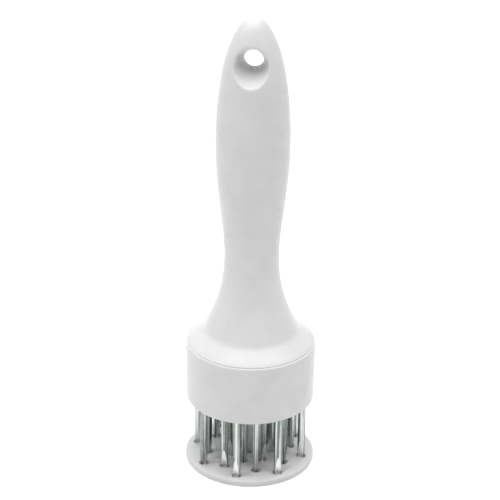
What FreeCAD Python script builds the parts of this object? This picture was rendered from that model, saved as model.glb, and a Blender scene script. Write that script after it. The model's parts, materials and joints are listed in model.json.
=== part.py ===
import FreeCAD, Part
import math
import os

from FreeCAD import Vector

# Needle tenderizer. It stands on its guard plate: +Z is up, the origin is the middle of the plate's
# underside, and the front of the handle faces -Y. Sizes are in mm and angles in degrees.

# Guard plate
plate_overhang = 0.15
plate_thickness = 2.4
plate_round = 0.6

# Pins, in three rings of eight
pins_per_ring = 8
outer_ring_inset = 4.35
middle_ring_inset = 4.75
inner_ring_inset = 7.35
ring_phase = 37.5
pin_radius = 1.5
pin_head_radius = 1.9
pin_head_height = 1.5
pin_fit = 0.02
pin_running_gap = 0.5

# Ground pin tips: two long flats, then a short bevel down to the edge
tip_rise = 0.6
edge_thickness = 0.2
bevel_height = 1.2
flat_thickness = 1.4
flat_height = 8.5
outer_turns = (20, 75, 130, 100, 150, 80, 115, 85)
middle_turns = (60, 15, 150, 165, 85, 5, 10, 40)
inner_turns = (125, 50, 5, 80, 110, 25, 145, 65)

# Head cup
cup_bottom_height = 29.0
cup_height = 25.2
cup_radius = 26.35
cup_draft = 0.25
cup_wall = 1.6
cup_floor = 8.0
cup_lip_round = 0.5
seam_round = 0.25
rim_round = 1.6
rim_drop = 1.0

# Pin retainer
retainer_thickness = 2.5
retainer_gap = 0.2

# Handle: the domed cap above the seam, then the grip. Heights are above the seam, drops below the nose
handle_length = 137.4
cap_slope = 38.0
foot_inset = 5.5
foot_round = 5.0
flare_angle = 66.5
flare_radius = 17.75
flare_height = 8.8
neck_radius = 14.8
neck_height = 15.8
waist_radius = 11.0
waist_height = 37.8
swell_radius = 12.9
swell_height = 59.8
belly_radius = 14.6
belly_height = 81.8
shoulder_radius = 12.4
shoulder_drop = 22.9
crown_radius = 7.6
crown_drop = 7.3
register_depth = 2.5
register_wall = 1.8
register_gap = 0.1

# Hanging hole
hang_drop = 16.6
hang_radius = 3.9
hang_land = 4.0
hang_flare = 22.5
hang_lip_round = 0.4

# Guide post and its stop
post_radius = 3.4
post_gap = 0.08
spigot_radius = 2.4
spigot_rise = 0.4
washer_radius = 5.2
washer_thickness = 1.2
stop_gap = 0.05
stop_screw_length = 12.0
stop_screw_head_radius = 2.8
stop_screw_head_height = 2.0

# Screws and their holes
screw_radius = 1.5
screw_fit = 0.02
screw_hole_gap = 0.2
screw_count = 4
screw_head_radius = 2.6
screw_pin_gap = 0.55
screw_bite = 8.0
screw_end_gap = 1.5
boss_wall = 1.7
drive_radius = 1.1
drive_depth = 1.0

# Return spring and the tube that holds it
wire_radius = 0.5
spring_radius = 4.5
spring_length = 52.0
spring_turns = 16
bore_gap = 0.6
tube_wall = 1.8
tube_end_gap = 1.2

# Heights and radii worked out from the sizes above
floor_top = cup_bottom_height + cup_floor
seam_height = cup_bottom_height + cup_height
retainer_top = floor_top + retainer_thickness
post_top = retainer_top + stop_gap
washer_top = post_top + washer_thickness
spring_top = washer_top + spring_length
nose_height = seam_height + handle_length
hang_centre = nose_height - hang_drop
plate_radius = cup_radius + plate_overhang
cup_cavity_radius = cup_radius - cup_draft - cup_wall
rim_centre = seam_height - rim_drop
seam_radius = cup_radius - rim_round + math.sqrt(rim_round**2 - rim_drop**2)
outer_ring_radius = cup_radius - outer_ring_inset
middle_ring_radius = outer_ring_radius - middle_ring_inset
inner_ring_radius = middle_ring_radius - inner_ring_inset
bore_radius = max(washer_radius, spring_radius + wire_radius) + bore_gap
screw_circle_radius = middle_ring_radius - pin_radius - pin_fit - screw_head_radius - screw_pin_gap

rings = (
    ("outer", outer_ring_radius, ring_phase, outer_turns),
    ("middle", middle_ring_radius, ring_phase + 180.0 / pins_per_ring, middle_turns),
    ("inner", inner_ring_radius, ring_phase, inner_turns),
)

up = Vector(0, 0, 1)
origin = Vector(0, 0, 0)


def polar(radius, angle, height=0.0):
    turn = math.radians(angle)
    return Vector(radius * math.cos(turn), radius * math.sin(turn), height)


def rod(radius, bottom, top, centre=origin):
    return Part.makeCylinder(radius, top - bottom, Vector(centre.x, centre.y, bottom), up)


def profile(points):
    """Closed outline in the XZ plane from (radius, height) points."""
    corners = [Vector(radius, 0, height) for radius, height in points]
    return Part.makePolygon(corners + corners[:1])


def turned(wire):
    """Solid of revolution about the Z axis."""
    return Part.Face(wire).revolve(origin, up, 360)


def rounded(solid, radius, edge_radius, height):
    """Rounds the circular edge that has this radius and height."""
    edges = [
        edge
        for edge in solid.Edges
        if not edge.Degenerated
        and isinstance(edge.Curve, Part.Circle)
        and abs(edge.Curve.Radius - edge_radius) < 1e-4
        and abs(edge.Curve.Center.z - height) < 1e-4
    ]
    return solid.makeFillet(radius, edges)


def ring_places(radius, phase, count):
    return [polar(radius, phase + 360.0 * index / count) for index in range(count)]


def pin_places():
    return [place for _, radius, phase, _ in rings for place in ring_places(radius, phase, pins_per_ring)]


def screw_places():
    return ring_places(screw_circle_radius, ring_phase + 180.0 / pins_per_ring, screw_count)


def guard_plate():
    plate = rod(plate_radius, 0, plate_thickness)
    plate = plate.makeFillet(plate_round, [e for e in plate.Edges if isinstance(e.Curve, Part.Circle)])
    holes = [rod(pin_radius + pin_running_gap, -1, plate_thickness + 1, place) for place in pin_places()]
    holes.append(rod(spigot_radius + pin_fit, -1, plate_thickness + 1))
    return plate.cut(holes)


def guide_post():
    post = rod(post_radius, plate_thickness, post_top)
    spigot = rod(spigot_radius, spigot_rise, plate_thickness)
    pilot = rod(screw_radius + screw_fit, post_top - stop_screw_length - screw_end_gap, post_top + 1)
    return post.fuse(spigot).removeSplitter().cut(pilot)


def stop_washer():
    return rod(washer_radius, post_top, washer_top).cut(
        rod(screw_radius + screw_hole_gap, post_top - 1, washer_top + 1)
    )


def driver_recess(bottom):
    """Square recess for the driver in a screw head."""
    side = drive_radius * math.sqrt(2)
    return Part.makeBox(side, side, drive_depth, Vector(-side / 2, -side / 2, bottom))


def stop_screw():
    head_top = washer_top + stop_screw_head_height
    head = rod(stop_screw_head_radius, washer_top, head_top)
    shank = rod(screw_radius, post_top - stop_screw_length, washer_top)
    return head.fuse(shank).removeSplitter().cut(driver_recess(head_top - drive_depth))


def head_screw_shape(clearance=0.0):
    """Countersunk screw standing head down at the underside of the cup, on the axis."""
    head_height = screw_head_radius - screw_radius
    tip = retainer_top + screw_bite
    low = cup_bottom_height
    outline = profile(
        [
            (0, low),
            (screw_head_radius + clearance, low),
            (screw_radius + clearance, low + head_height),
            (screw_radius + clearance, tip),
            (0, tip),
        ]
    )
    return turned(outline)


def head_screws():
    screw = head_screw_shape().cut(driver_recess(cup_bottom_height))
    return Part.makeCompound([screw.translated(place) for place in screw_places()])


def rim_shape():
    """Solid whose side is the head's wall and the rounded rim that the cup and the handle share."""
    top = rim_centre + rim_round
    corner = Vector(cup_radius, 0, rim_centre)
    middle = Vector(cup_radius - rim_round, 0, rim_centre) - leaning(rim_round, -45)
    flat = Vector(cup_radius - rim_round, 0, top)
    bottom = Vector(0, 0, cup_bottom_height - 1)
    side = Vector(cup_radius, 0, cup_bottom_height - 1)
    return turned(
        Part.Wire(
            [
                Part.LineSegment(bottom, side).toShape(),
                Part.LineSegment(side, corner).toShape(),
                Part.Arc(corner, middle, flat).toShape(),
                Part.LineSegment(flat, Vector(0, 0, top)).toShape(),
                Part.LineSegment(Vector(0, 0, top), bottom).toShape(),
            ]
        )
    )


def head_cup():
    bottom_radius = cup_radius - cup_draft
    outline = profile(
        [
            (0, cup_bottom_height),
            (bottom_radius, cup_bottom_height),
            (cup_radius, rim_centre),
            (cup_radius, seam_height),
            (cup_cavity_radius, seam_height),
            (cup_cavity_radius, floor_top),
            (0, floor_top),
        ]
    )
    cup = turned(outline).common(rim_shape())
    cup = rounded(cup, cup_lip_round, bottom_radius, cup_bottom_height)
    cup = rounded(cup, seam_round, seam_radius, seam_height)
    cuts = [rod(post_radius + post_gap, cup_bottom_height - 1, floor_top + 1)]
    for place in pin_places():
        cuts.append(rod(pin_radius + pin_fit, cup_bottom_height - 1, floor_top + 1, place))
        cuts.append(rod(pin_head_radius + pin_fit, floor_top - pin_head_height, floor_top + 1, place))
    for place in screw_places():
        cuts.append(head_screw_shape(screw_fit).translated(place))
    return cup.cut(cuts)


def pin_retainer():
    disc = rod(cup_cavity_radius - retainer_gap, floor_top, retainer_top)
    cuts = [rod(post_radius + post_gap, floor_top - 1, retainer_top + 1)]
    for place in screw_places():
        cuts.append(rod(screw_radius + screw_hole_gap, floor_top - 1, retainer_top + 1, place))
    return disc.cut(cuts)


def tip_cutter():
    """Outline of the ground tip seen edge on, as a slab wider than the pin."""
    edge = tip_rise
    bevel_top = edge + bevel_height
    flat_top = bevel_top + flat_height
    half = [
        (edge_thickness / 2, edge),
        (flat_thickness / 2, bevel_top),
        (pin_radius, flat_top),
        (pin_head_radius + 1, flat_top),
        (pin_head_radius + 1, floor_top + 1),
    ]
    points = half + [(-x, z) for x, z in reversed(half)]
    face = Part.Face(profile(points))
    return face.extrude(Vector(0, 4 * pin_head_radius, 0)).translated(Vector(0, -2 * pin_head_radius, 0))


def pin(place, turn):
    shank = rod(pin_radius, tip_rise, floor_top)
    head = rod(pin_head_radius, floor_top - pin_head_height, floor_top)
    blank = shank.fuse(head).removeSplitter()
    solid = blank.common(tip_cutter())
    solid.rotate(origin, up, turn)
    return solid.translated(place)


def biarc(start, start_direction, end, end_direction):
    """Two tangent arcs that join two points in their own directions."""
    chord = end - start
    both = start_direction + end_direction
    spread = 2 * (1 - start_direction.dot(end_direction))
    along = chord.dot(both)
    reach = (math.sqrt(along * along + spread * chord.dot(chord)) - along) / spread
    first = start + start_direction * reach
    last = end - end_direction * reach
    middle = (first + last) * 0.5
    return [tangent_arc(start, first, middle), tangent_arc(middle, last, end)]


def tangent_arc(start, corner, end):
    """Arc from start to end whose two end tangents meet at the corner."""
    foot = (start + end) * 0.5
    lean = (corner - start).getAngle(end - corner) / 2
    crown = foot + (corner - foot) * (math.cos(lean) / (1 + math.cos(lean)))
    return Part.Arc(start, crown, end).toShape()


def return_spring():
    """Open coil with its two ends ground flat."""
    pitch = spring_length / spring_turns
    steps = spring_turns * 4
    rise = math.atan2(pitch, 2 * math.pi * spring_radius)

    def station(step):
        angle = 90.0 * step
        place = polar(spring_radius, angle, washer_top + pitch * step / 4)
        direction = polar(math.cos(rise), angle + 90.0, math.sin(rise))
        return place, direction

    arcs = []
    for step in range(steps):
        arcs += biarc(*station(step), *station(step + 1))
    path = Part.Wire(arcs)
    start, direction = station(0)
    section = Part.Wire(Part.makeCircle(wire_radius, start, direction))
    coil = path.makePipeShell([section], True, False)
    slab = rod(spring_radius + 2 * wire_radius, washer_top, spring_top)
    print("spring: least gap between turns %.2f mm" % (pitch * math.cos(rise) - 2 * wire_radius))
    return coil.common(slab)


def leaning(length, angle):
    """Vector in the XZ plane that points inwards and up at this angle from level."""
    turn = math.radians(angle)
    return Vector(-length * math.cos(turn), 0, length * math.sin(turn))


def grip_outline():
    """Half outline of the handle: seam face, its part of the rim, dome, blended foot, then the grip up to the nose."""
    edge_centre = Vector(cup_radius - rim_round, 0, rim_centre)
    seam_corner = Vector(seam_radius, 0, seam_height)
    seam_lean = math.degrees(math.asin(rim_drop / rim_round))
    edge_middle = edge_centre - leaning(rim_round, (cap_slope - 90 - seam_lean) / 2)
    edge_high = edge_centre - leaning(rim_round, cap_slope - 90)
    foot = edge_high + Vector(-foot_inset, 0, foot_inset * math.tan(math.radians(cap_slope)))
    blend_centre = foot - leaning(foot_round, cap_slope - 90)
    blend_middle = blend_centre + leaning(foot_round, (cap_slope + flare_angle) / 2 - 90)
    blend_end = blend_centre + leaning(foot_round, flare_angle - 90)
    bottom = Vector(0, 0, seam_height)
    nose = Vector(0, 0, nose_height)
    stations = [
        Vector(flare_radius, 0, seam_height + flare_height),
        Vector(neck_radius, 0, seam_height + neck_height),
        Vector(waist_radius, 0, seam_height + waist_height),
        Vector(swell_radius, 0, seam_height + swell_height),
        Vector(belly_radius, 0, seam_height + belly_height),
        Vector(shoulder_radius, 0, nose_height - shoulder_drop),
        Vector(crown_radius, 0, nose_height - crown_drop),
    ]
    grip = Part.BSplineCurve()
    grip.interpolate(
        Points=[blend_end] + stations + [nose],
        InitialTangent=leaning(1, flare_angle),
        FinalTangent=leaning(1, 0),
        Scale=False,
    )
    return Part.Wire(
        [
            Part.LineSegment(bottom, seam_corner).toShape(),
            Part.Arc(seam_corner, edge_middle, edge_high).toShape(),
            Part.LineSegment(edge_high, foot).toShape(),
            Part.Arc(foot, blend_middle, blend_end).toShape(),
            grip.toShape(),
            Part.LineSegment(nose, bottom).toShape(),
        ]
    )


def hang_cutter():
    """Straight land in the middle of the handle that flares out to the front and to the back."""
    half_land = hang_land / 2
    reach = 2 * belly_radius
    wide = hang_radius + (reach - half_land) * math.tan(math.radians(hang_flare))
    outline = profile(
        [
            (0, -reach),
            (wide, -reach),
            (hang_radius, -half_land),
            (hang_radius, half_land),
            (wide, reach),
            (0, reach),
        ]
    )
    cutter = turned(outline)
    cutter.rotate(origin, Vector(1, 0, 0), 90)
    return cutter.translated(Vector(0, 0, hang_centre))


def with_soft_lips(solid):
    """Rounds the two rims where the flared hole breaks through the handle."""
    rims = []
    for edge in solid.Edges:
        box = edge.BoundBox
        level = abs(box.Center.z - hang_centre) < hang_radius
        outside = min(abs(box.YMin), abs(box.YMax)) > hang_land
        if level and outside and box.ZLength > 2 * hang_radius:
            rims.append(edge)
    return solid.makeFillet(hang_lip_round, rims)


def handle():
    body = rounded(turned(grip_outline()), seam_round, seam_radius, seam_height)
    body = with_soft_lips(body.cut(hang_cutter()))
    tube_end = washer_top + stop_screw_head_height + tube_end_gap
    register_radius = cup_cavity_radius - register_gap
    register = rod(register_radius, seam_height - register_depth, seam_height).cut(
        rod(register_radius - register_wall, seam_height - register_depth, seam_height)
    )
    added = [register, rod(bore_radius + tube_wall, tube_end, seam_height)]
    cuts = [rod(bore_radius, tube_end - 1, spring_top)]
    boss_radius = screw_radius + screw_fit + boss_wall
    pilot_top = retainer_top + screw_bite + screw_end_gap
    for place in screw_places():
        added.append(rod(boss_radius, retainer_top, seam_height, place))
        cuts.append(rod(screw_radius + screw_fit, retainer_top - 1, pilot_top, place))
    return body.fuse(added).cut(cuts)


def save(name, shape):
    shape.exportStep("parts/" + name + ".step")
    print(name, "%d solid(s), %.1f mm3, valid %s" % (len(shape.Solids), shape.Volume, shape.isValid()))


def build():
    os.makedirs("parts", exist_ok=True)
    makers = (
        guard_plate,
        guide_post,
        stop_washer,
        stop_screw,
        return_spring,
        head_cup,
        pin_retainer,
        head_screws,
        handle,
    )
    for maker in makers:
        save(maker.__name__, maker())
    for ring, radius, phase, turns in rings:
        for index, place in enumerate(ring_places(radius, phase, pins_per_ring)):
            save("pin_%s_%d" % (ring, index + 1), pin(place, turns[index % len(turns)]))
    print("guard travel: %.1f mm" % (cup_bottom_height - plate_thickness))


build()
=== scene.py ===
import bpy
import bmesh
import json
import math
from mathutils import Matrix, Vector

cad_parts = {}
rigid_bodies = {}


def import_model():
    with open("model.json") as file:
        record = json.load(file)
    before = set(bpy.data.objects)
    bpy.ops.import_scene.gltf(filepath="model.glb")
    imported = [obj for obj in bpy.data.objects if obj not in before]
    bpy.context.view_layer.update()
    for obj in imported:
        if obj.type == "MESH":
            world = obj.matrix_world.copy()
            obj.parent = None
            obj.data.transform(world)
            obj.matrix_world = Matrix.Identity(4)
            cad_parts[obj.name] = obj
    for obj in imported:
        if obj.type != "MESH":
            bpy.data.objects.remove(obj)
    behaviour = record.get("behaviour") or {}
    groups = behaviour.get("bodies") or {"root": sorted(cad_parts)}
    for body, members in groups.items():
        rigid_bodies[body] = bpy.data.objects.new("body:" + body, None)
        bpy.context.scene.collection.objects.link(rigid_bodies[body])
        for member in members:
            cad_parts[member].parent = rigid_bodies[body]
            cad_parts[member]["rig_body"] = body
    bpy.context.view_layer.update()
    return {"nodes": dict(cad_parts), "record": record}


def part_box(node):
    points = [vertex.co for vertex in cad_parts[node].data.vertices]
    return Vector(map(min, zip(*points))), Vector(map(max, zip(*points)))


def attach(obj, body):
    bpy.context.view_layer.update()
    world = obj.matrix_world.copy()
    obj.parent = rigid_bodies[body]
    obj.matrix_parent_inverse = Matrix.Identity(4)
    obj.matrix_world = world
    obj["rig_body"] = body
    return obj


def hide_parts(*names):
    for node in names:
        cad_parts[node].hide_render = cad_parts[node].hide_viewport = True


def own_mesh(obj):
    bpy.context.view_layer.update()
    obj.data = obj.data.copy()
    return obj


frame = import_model()
print("frame loaded:", len(frame["nodes"]), "nodes")

mm = 0.001
mergeDistance = 0.001 * mm
slotOf = {part["node"]: part["material_slot"] for part in frame["record"]["subparts"]}
bodyOf = {name: node["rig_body"] for name, node in frame["nodes"].items()}


class Value:  # a socket that sums can be written on
    def __init__(self, paint, socket):
        self.paint = paint
        self.socket = socket

    def math(self, operation, *others):
        return self.paint.make("ShaderNodeMath", {"operation": operation}, dict(enumerate((self,) + others)))

    def __add__(self, other):
        return self.math("ADD", other)

    def __sub__(self, other):
        return self.math("SUBTRACT", other)

    def __rsub__(self, other):
        return self.paint.make("ShaderNodeMath", {"operation": "SUBTRACT"}, {0: other, 1: self})

    def __mul__(self, other):
        return self.math("MULTIPLY", other)

    __radd__ = __add__
    __rmul__ = __mul__


def shown(sockets, key):  # by number, or by name among those that the node's settings leave on
    if isinstance(key, int):
        return sockets[key]
    return [socket for socket in sockets if socket.name == key and socket.enabled][0]


class Paint:  # the nodes of a material or of the world
    def __init__(self, owner):
        owner.use_nodes = True
        self.owner = owner
        self.tree = owner.node_tree
        self.tree.nodes.clear()

    def make(self, kind, settings=None, values=None, out=0):
        node = self.tree.nodes.new(kind)
        for key, setting in (settings or {}).items():
            if key == "stops":
                ramp = node.color_ramp
                for place, _ in setting[len(ramp.elements):]:
                    ramp.elements.new(place)
                for stop, (place, colour) in zip(ramp.elements, setting):
                    stop.position = place
                    stop.color = colour + (1.0,)
            else:
                setattr(node, key, setting)
        for key, value in (values or {}).items():
            socket = shown(node.inputs, key)
            if isinstance(value, Value):
                self.tree.links.new(value.socket, socket)
            else:
                socket.default_value = value
        return Value(self, shown(node.outputs, out)) if node.outputs else None

    def objectPlace(self, scale=(1.0, 1.0, 1.0)):
        place = self.make("ShaderNodeTexCoord", out="Object")
        return self.make("ShaderNodeMapping", {}, {"Vector": place, "Scale": scale})

    def noise(self, place, scale, detail):
        return self.make("ShaderNodeTexNoise", {}, {"Vector": place, "Scale": scale, "Detail": detail})

    def ramp(self, amount, look):  # from the look's dark colour to its light one
        low, high = look["range"]
        return self.make("ShaderNodeValToRGB", {"stops": [(low, look["dark"]), (high, look["light"])]}, {0: amount})

    def mix(self, amount, under, over):  # a plain colour over a painted one
        values = {"Factor": amount, "A": under, "B": over + (1.0,)}
        return self.make("ShaderNodeMix", {"data_type": "RGBA"}, values, out="Result")

    def bump(self, height, depth):
        return self.make("ShaderNodeBump", {}, {"Height": height, "Distance": depth})

    def surface(self, values):
        shader = self.make("ShaderNodeBsdfPrincipled", {}, values)
        self.make("ShaderNodeOutputMaterial", {}, {"Surface": shader})
        return self.owner


def newPaint(name):
    return Paint(bpy.data.materials.new(name))


def grey(level, blue=1.0):
    return (level, level, level * blue)


# Looks: each noise is its scale and its detail, and roughness is that of the smoothest spots
whitePlastic = {
    "dark": grey(0.80, 1.01),
    "light": grey(0.84, 0.995),
    "range": (0.35, 0.65),
    "clouds": (70.0, 3.0),
    "peel": (900.0, 1.0),
    "grain": (5200.0, 0.0),
    "speck": grey(0.62, 0.97),
    "speckCells": 260.0,
    "speckSize": 0.06,
    "speckStrength": 0.5,
    "patches": (130.0, 0.0),
    "patchLimit": 0.6,
    "roughness": 0.21,
    "cloudRoughness": 0.1,
    "grainRoughness": 0.06,
    "specular": 0.27,
    "grainBump": 0.3,
    "bumpDepth": 0.02 * mm,
}


def whitePlasticPaint(name, look):
    paint = newPaint(name)
    place = paint.objectPlace()
    clouds = paint.noise(place, *look["clouds"])
    peel = paint.noise(place, *look["peel"])
    grain = paint.noise(place, *look["grain"])
    cell = paint.make("ShaderNodeTexVoronoi", {}, {"Vector": place, "Scale": look["speckCells"]})
    nearDot = cell.math("LESS_THAN", look["speckSize"])
    fewDots = paint.noise(place, *look["patches"]).math("GREATER_THAN", look["patchLimit"])
    specks = nearDot * fewDots * look["speckStrength"]
    return paint.surface(
        {
            "Base Color": paint.mix(specks, paint.ramp(clouds, look), look["speck"]),
            "Roughness": clouds * look["cloudRoughness"] + look["roughness"] + grain * look["grainRoughness"],
            "Specular IOR Level": look["specular"],
            "Normal": paint.bump(peel + grain * look["grainBump"], look["bumpDepth"]),
        }
    )


innerPlastic = {
    "dark": grey(0.74, 0.98),
    "light": grey(0.79, 0.99),
    "range": (0.3, 0.7),
    "clouds": (90.0, 2.0),
    "grain": (3000.0, 1.0),
    "roughness": 0.5,
    "grainRoughness": 0.15,
    "bumpDepth": 0.03 * mm,
}


def innerPlasticPaint(name, look):
    paint = newPaint(name)
    place = paint.objectPlace()
    clouds = paint.noise(place, *look["clouds"])
    grain = paint.noise(place, *look["grain"])
    return paint.surface(
        {
            "Base Color": paint.ramp(clouds, look),
            "Roughness": grain * look["grainRoughness"] + look["roughness"],
            "Normal": paint.bump(grain, look["bumpDepth"]),
        }
    )


pinSteel = {
    # the dark colour is painted reflection: dark surroundings shown as streaks on the pins
    "dark": (0.16, 0.185, 0.165),
    "light": (0.63, 0.655, 0.645),
    "range": (0.42, 0.56),
    "along": 0.012,  # how fine the streaks are along the pin, next to across it
    "streaks": (1000.0, 1.0),
    "lines": (6000.0, 1.0),
    "clouds": (260.0, 2.0),
    "streakShare": 0.8,
    "lineShare": 0.12,
    "cloudShare": 0.08,
    "roughness": 0.14,
    "lineRoughness": 0.12,
    "cloudRoughness": 0.06,
    "bumpDepth": 0.006 * mm,
}


def paintedReflectionSteelPaint(name, look):  # drawn rod: bright, with painted reflections as dark green-grey streaks that run its whole length; the fine lines are the rod's own
    paint = newPaint(name)
    alongPin = paint.objectPlace((1.0, 1.0, look["along"]))
    streaks = paint.noise(alongPin, *look["streaks"])
    lines = paint.noise(alongPin, *look["lines"])
    clouds = paint.noise(paint.objectPlace(), *look["clouds"])
    # the broad streaks carry the painted dark reflections; the fine lines and clouds are the steel's own tone
    tone = streaks * look["streakShare"] + lines * look["lineShare"] + clouds * look["cloudShare"]
    return paint.surface(
        {
            "Base Color": paint.ramp(tone, look),
            "Metallic": 1.0,
            "Roughness": lines * look["lineRoughness"] + look["roughness"] + clouds * look["cloudRoughness"],
            "Normal": paint.bump(lines, look["bumpDepth"]),
        }
    )


drawnSteel = {
    "range": (0.35, 0.65),
    "along": 0.02,
    "streaks": (3500.0, 2.0),
    "clouds": (260.0, 2.0),
    "streakShare": 0.6,
    "cloudShare": 0.4,
    "streakRoughness": 0.16,
    "cloudRoughness": 0.05,
    "bumpDepth": 0.01 * mm,
}
screwSteel = {**drawnSteel, "dark": grey(0.55), "light": grey(0.68), "roughness": 0.25}
washerSteel = {**drawnSteel, "dark": grey(0.5), "light": grey(0.62), "roughness": 0.3}
springSteel = {**drawnSteel, "dark": grey(0.42, 1.03), "light": grey(0.56, 1.02), "roughness": 0.23}


def drawnSteelPaint(name, look):
    paint = newPaint(name)
    streaks = paint.noise(paint.objectPlace((1.0, 1.0, look["along"])), *look["streaks"])
    clouds = paint.noise(paint.objectPlace(), *look["clouds"])
    return paint.surface(
        {
            "Base Color": paint.ramp(streaks * look["streakShare"] + clouds * look["cloudShare"], look),
            "Metallic": 1.0,
            "Roughness": streaks * look["streakRoughness"] + look["roughness"] + clouds * look["cloudRoughness"],
            "Normal": paint.bump(streaks, look["bumpDepth"]),
        }
    )


groundSteel = {
    "dark": grey(0.66, 1.01),
    "light": grey(0.78),
    "range": (0.35, 0.65),
    "across": 0.05,
    "marks": (6000.0, 1.0),
    "clouds": (500.0, 1.0),
    "markShare": 0.7,
    "cloudShare": 0.3,
    "roughness": 0.26,
    "markRoughness": 0.14,
    "bumpDepth": 0.008 * mm,
}


def groundSteelPaint(name, look):  # flats ground across the pin
    paint = newPaint(name)
    marks = paint.noise(paint.objectPlace((look["across"], look["across"], 1.0)), *look["marks"])
    clouds = paint.noise(paint.objectPlace(), *look["clouds"])
    return paint.surface(
        {
            "Base Color": paint.ramp(marks * look["markShare"] + clouds * look["cloudShare"], look),
            "Metallic": 1.0,
            "Roughness": marks * look["markRoughness"] + look["roughness"],
            "Normal": paint.bump(marks, look["bumpDepth"]),
        }
    )


paints = {
    "white_plastic": whitePlasticPaint("whitePlastic", whitePlastic),
    "inner_plastic": innerPlasticPaint("innerPlastic", innerPlastic),
    "pin_steel": paintedReflectionSteelPaint("pinSteel", pinSteel),
    "screw_steel": drawnSteelPaint("screwSteel", screwSteel),
    "washer_steel": drawnSteelPaint("washerSteel", washerSteel),
    "spring_steel": drawnSteelPaint("springSteel", springSteel),
    "ground_steel": groundSteelPaint("groundSteel", groundSteel),
}

for nodeName, node in frame["nodes"].items():
    node.data.materials.clear()
    node.data.materials.append(paints[slotOf[nodeName]])
print("materials made:", len(paints))


def selectOnly(piece):
    bpy.ops.object.select_all(action="DESELECT")
    piece.select_set(True)
    bpy.context.view_layer.objects.active = piece


def editMode(selection):  # "SELECT" or "DESELECT", for the whole mesh
    bpy.ops.object.mode_set(mode="EDIT")
    bpy.ops.mesh.select_all(action=selection)


def objectMode():
    bpy.ops.object.mode_set(mode="OBJECT")


def rod(radius, bottom, top, place=(0, 0), sides=48):  # lengths in millimetres, place in metres
    bpy.ops.mesh.primitive_cylinder_add(
        vertices=sides,
        radius=radius * mm,
        depth=(top - bottom) * mm,
        location=(place[0], place[1], (bottom + top) / 2 * mm),
    )
    return bpy.context.object


def trim(place, outward):  # in edit mode, cuts off what lies past a plane and closes the cut
    bpy.ops.mesh.select_all(action="SELECT")
    bpy.ops.mesh.bisect(plane_co=place, plane_no=outward, use_fill=True, clear_outer=True, threshold=mergeDistance)


def joined(parts):
    bpy.ops.object.select_all(action="DESELECT")
    for part in parts:
        part.select_set(True)
    bpy.context.view_layer.objects.active = parts[0]
    bpy.ops.object.join()
    return bpy.context.object


def useModifier(piece, kind, **settings):
    selectOnly(piece)
    bpy.ops.object.modifier_add(type=kind)
    modifier = piece.modifiers[-1]
    for key, setting in settings.items():
        setattr(modifier, key, setting)
    bpy.ops.object.modifier_apply(modifier=modifier.name)


def cutAway(piece, cutter):
    useModifier(piece, "BOOLEAN", operation="DIFFERENCE", solver="EXACT", object=cutter)
    bpy.data.objects.remove(cutter)


def roundEdges(piece, width, steps, angle):  # where two faces turn by more than the angle
    useModifier(
        piece,
        "BEVEL",
        width=width * mm,
        segments=steps,
        limit_method="ANGLE",
        angle_limit=math.radians(angle),
        harden_normals=True,
        use_clamp_overlap=False,
    )


def smooth(piece, angle=35.0):
    selectOnly(piece)
    bpy.ops.object.shade_smooth_by_angle(angle=math.radians(angle))


def copyOf(mesh, name):
    piece = bpy.data.objects.new(name, mesh.copy())
    bpy.context.scene.collection.objects.link(piece)
    selectOnly(piece)
    return piece


def finish(piece, node, body=None):
    piece.name = node + "_piece"
    if not piece.data.materials:
        piece.data.materials.append(paints[slotOf[node]])
    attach(piece, body or bodyOf[node])
    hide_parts(node)


ringNames = ("outer", "middle", "inner")
pinNodes = ["pin_%s_%d" % (ring, count + 1) for ring in ringNames for count in range(8)]


def middle(node):
    low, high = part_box(node)
    return (low + high) / 2


# Pins: one blank with its ground tip, then 24 turned copies
pinValues = {
    "radius": 1.5,
    "headRadius": 1.9,
    "headHeight": 1.5,
    "flatTop": 10.3,
    "bevelTop": 1.8,
    "halfFlat": 0.7,
    "halfEdge": 0.1,
    "edgeRound": 0.04,
    "edgeSteps": 2,
    "sharpAngle": 25,
    "smoothAngle": 30,
    "turns": {  # of each tip about its own axis, in degrees
        "outer": (20, 75, 130, 100, 150, 80, 115, 85),
        "middle": (60, 15, 150, 165, 85, 5, 10, 40),
        "inner": (125, 50, 5, 80, 110, 25, 145, 65),
    },
}
groundFaces = {"facing": 0.8, "area": 1.5, "bevelFacing": (0.3, 0.9)}  # how the ground faces are found


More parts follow.
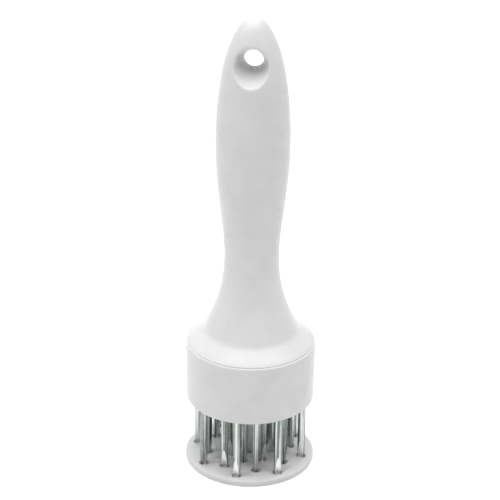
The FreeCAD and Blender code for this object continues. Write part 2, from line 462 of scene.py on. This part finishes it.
def pinBlank():
    low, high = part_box("pin_outer_1")
    tip, top = low.z / mm, high.z / mm
    bpy.ops.object.select_all(action="DESELECT")
    blank = rod(pinValues["radius"], tip, top - pinValues["headHeight"])
    bpy.ops.object.transform_apply()
    editMode("DESELECT")
    mesh = bmesh.from_edit_mesh(blank.data)
    for face in mesh.faces:  # the top face, which grows into the head
        face.select_set(face.normal.z > 0.9)
    bmesh.update_edit_mesh(blank.data)
    spread = pinValues["headRadius"] / pinValues["radius"]
    bpy.ops.mesh.extrude_region_move()
    bpy.ops.transform.resize(value=(spread, spread, 1), center_override=(0, 0, 0))
    bpy.ops.mesh.extrude_region_move(TRANSFORM_OT_translate={"value": (0, 0, pinValues["headHeight"] * mm)})
    corners = (  # half width and height where each ground face starts and ends
        ((pinValues["radius"], pinValues["flatTop"]), (pinValues["halfFlat"], pinValues["bevelTop"])),
        ((pinValues["halfFlat"], pinValues["bevelTop"]), (pinValues["halfEdge"], tip)),
    )
    for side in (1, -1):
        for (wide, high), (narrow, low) in corners:
            outward = Vector((side * (high - low), 0, narrow - wide)).normalized()
            trim((side * wide * mm, 0, high * mm), outward)
    objectMode()
    blank.data.materials.append(paints["pin_steel"])
    blank.data.materials.append(paints["ground_steel"])
    leastBevel, mostBevel = groundFaces["bevelFacing"]
    for face in blank.data.polygons:
        atTip = face.center.z < pinValues["flatTop"] * mm
        large = face.area > groundFaces["area"] * mm * mm
        flat = atTip and large and abs(face.normal.x) > groundFaces["facing"]
        bevel = leastBevel < -face.normal.z < mostBevel
        face.material_index = 1 if flat or bevel else 0
    roundEdges(blank, pinValues["edgeRound"], pinValues["edgeSteps"], pinValues["sharpAngle"])
    smooth(blank, pinValues["smoothAngle"])
    return blank


blank = pinBlank()
for node in pinNodes:
    _, ring, count = node.split("_")
    pin = copyOf(blank.data, node)
    pin.rotation_euler.z = math.radians(pinValues["turns"][ring][int(count) - 1])
    pin.location = (middle(node).x, middle(node).y, 0)
    bpy.ops.object.transform_apply()
    finish(pin, node)
bpy.data.objects.remove(blank)
print("pins made:", len(pinNodes))

# Guard plate: a disc with a rounded rim and softened holes
plateValues = {
    "sides": 192,
    "edgeRound": 0.6,
    "edgeSteps": 5,
    "holeRadius": 2.0,
    "postHole": 2.42,
    "overcut": 1,
    "rimRound": 0.12,
    "rimSteps": 2,
    "sharpAngle": 60,
}


def guardPlate():
    low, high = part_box("guard_plate")
    plate = rod(high.x / mm, low.z / mm, high.z / mm, sides=plateValues["sides"])
    bpy.ops.object.transform_apply()
    roundEdges(plate, plateValues["edgeRound"], plateValues["edgeSteps"], plateValues["sharpAngle"])
    bottom, top = -plateValues["overcut"], high.z / mm + plateValues["overcut"]
    holes = [rod(plateValues["holeRadius"], bottom, top, middle(node)) for node in pinNodes]
    holes.append(rod(plateValues["postHole"], bottom, top))
    cutAway(plate, joined(holes))
    roundEdges(plate, plateValues["rimRound"], plateValues["rimSteps"], plateValues["sharpAngle"])
    smooth(plate)
    finish(plate, "guard_plate")


guardPlate()

# Return spring: a wire ring swept round and up, then ground flat at both ends
springValues = {"radius": 4.5, "wireRadius": 0.5, "turns": 16, "steps": 40, "wireSides": 12}


def returnSpring():
    low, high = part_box("return_spring")
    pitch = (high.z - low.z) / springValues["turns"]
    bpy.ops.object.select_all(action="DESELECT")
    bpy.ops.mesh.primitive_circle_add(
        vertices=springValues["wireSides"],
        radius=springValues["wireRadius"] * mm,
        location=(springValues["radius"] * mm, 0, low.z),
        rotation=(math.radians(90), 0, 0),
    )
    coil = bpy.context.object
    bpy.ops.object.transform_apply()
    useModifier(
        coil,
        "SCREW",
        angle=math.radians(360),
        screw_offset=pitch,
        iterations=springValues["turns"],
        steps=springValues["steps"],
        render_steps=springValues["steps"],
        use_merge_vertices=False,
    )
    selectOnly(coil)
    editMode("DESELECT")
    bpy.ops.mesh.select_non_manifold()  # the wire's two open ends
    bpy.ops.mesh.fill_holes(sides=0)
    bpy.ops.mesh.select_all(action="SELECT")
    bpy.ops.mesh.normals_make_consistent(inside=False)
    trim((0, 0, low.z), (0, 0, -1))
    trim((0, 0, high.z), (0, 0, 1))
    objectMode()
    smooth(coil)
    finish(coil, "return_spring", "head")
    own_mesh(coil)


returnSpring()
print("guard plate and spring made")


def smoothCopy(node, angle=30.0):  # the CAD shape as one closed mesh, smooth but for its sharp edges
    piece = copyOf(frame["nodes"][node].data, node)
    editMode("SELECT")
    bpy.ops.mesh.remove_doubles(threshold=mergeDistance)
    objectMode()
    smooth(piece, angle)
    finish(piece, node)


for node in ("handle", "head_cup", "pin_retainer", "head_screws", "guide_post", "stop_washer", "stop_screw"):
    smoothCopy(node)
print("body pieces made")

stage = {
    "floorSize": 2.6,
    "floorColour": 0.9,
    "floorGlow": 0.3,
    "worldColour": 1.0,
    "worldLight": 0.14,
    "lampAim": (0.0, 0.0, 0.08),
}


def seenDirectly(paint):  # 1 for what the camera, a reflection or a see-through surface sees
    rays = ("Is Camera Ray", "Is Glossy Ray", "Is Transmission Ray")
    direct, mirrored, through = [paint.make("ShaderNodeLightPath", out=ray) for ray in rays]
    return (direct + mirrored).math("MAXIMUM", through).math("MINIMUM", 1.0)


bpy.ops.mesh.primitive_plane_add(size=stage["floorSize"])
floor = bpy.context.object
floor.name = "floor"
floorPaint = newPaint("paleFloor")
matt = floorPaint.make("ShaderNodeBsdfDiffuse", {}, {"Color": grey(stage["floorColour"]) + (1.0,)})
glow = floorPaint.make("ShaderNodeEmission", {}, {"Strength": seenDirectly(floorPaint) * stage["floorGlow"]})
lit = floorPaint.make("ShaderNodeAddShader", {}, {0: matt, 1: glow})
clear = floorPaint.make("ShaderNodeBsdfTransparent")
fromBelow = floorPaint.make("ShaderNodeNewGeometry", out="Backfacing")
oneSided = floorPaint.make("ShaderNodeMixShader", {}, {0: fromBelow, 1: lit, 2: clear})
floorPaint.make("ShaderNodeOutputMaterial", {}, {"Surface": oneSided})
floor.data.materials.append(floorPaint.owner)

world = bpy.data.worlds.new("studio")
bpy.context.scene.world = world
sky = Paint(world)
brightness = seenDirectly(sky) * (1.0 - stage["worldLight"]) + stage["worldLight"]
backdrop = {"Color": grey(stage["worldColour"]) + (1.0,), "Strength": brightness}
sky.make("ShaderNodeOutputWorld", {}, {"Surface": sky.make("ShaderNodeBackground", {}, backdrop)})

lamps = (  # name, place, size in metres, power in watts
    ("topLamp", (0.0, 0.0, 2.2), 2.6, 66.0),
    ("leftLamp", (-1.3, -0.3, 1.3), 0.9, 4.4),
    ("rightLamp", (1.3, -0.3, 1.3), 0.9, 1.9),
)
for name, place, size, power in lamps:
    light = bpy.data.lights.new(name, "AREA")
    light.size = size
    light.energy = power
    lamp = bpy.data.objects.new(name, light)
    bpy.context.scene.collection.objects.link(lamp)
    lamp.location = place
    lamp.rotation_euler = (Vector(stage["lampAim"]) - Vector(place)).to_track_quat("-Z", "Y").to_euler()

view = {  # metres, degrees, and the lens in millimetres
    "distance": 0.7,
    "height": 0.4253,
    "sideways": -0.0007,
    "azimuth": 6.0,
    "pitch": 25.32,
    "roll": 0.65,
    "lens": 140.0,
    "sensor": 36.0,
    "nearest": 0.01,
}
cameraData = bpy.data.cameras.new("camera")
cameraData.lens = view["lens"]
cameraData.sensor_width = view["sensor"]
cameraData.clip_start = view["nearest"]
camera = bpy.data.objects.new("camera", cameraData)
bpy.context.scene.collection.objects.link(camera)
turn = Matrix.Rotation(math.radians(view["azimuth"]), 4, "Z")
place = Matrix.Translation((view["sideways"], -view["distance"], view["height"]))
tilt = Matrix.Rotation(math.radians(90.0 - view["pitch"]), 4, "X")
roll = Matrix.Rotation(math.radians(view["roll"]), 4, "Z")
camera.matrix_world = turn @ place @ tilt @ roll
bpy.context.scene.camera = camera
bpy.context.scene.view_settings.view_transform = "Standard"
print("stage set")
